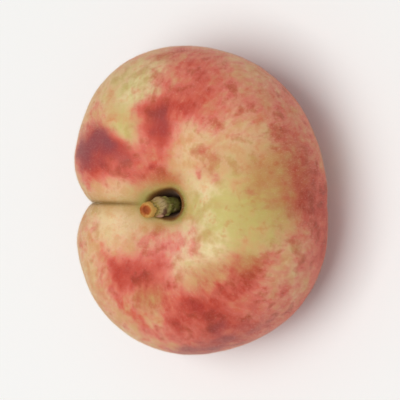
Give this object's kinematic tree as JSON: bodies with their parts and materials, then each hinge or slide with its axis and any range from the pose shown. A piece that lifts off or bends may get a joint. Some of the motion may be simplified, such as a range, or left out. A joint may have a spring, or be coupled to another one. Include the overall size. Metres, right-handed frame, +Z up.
{
  "type": "flat peach",
  "caption": "Whole flat peach with a suture groove, a dimple at each end and a short stub of stem, resting on its blossom end.",
  "frame": {"origin": "on the resting plane, under the middle of the fruit's outline", "axes": "+Z up along the stem's axis; -X towards the suture, the seam between the two lobes; Y across the two cheeks"},
  "size_m": [0.0608, 0.0718, 0.0384],
  "materials": {
    "peach_skin": "matt, downy skin: cream to yellow-green ground with a mottled red blush",
    "stem_bark": "matt, woody, green-brown"
  },
  "bodies": {
    "root": {"fruit": "peach_skin", "stem_stub": "stem_bark"}
  },
  "joints": []
}
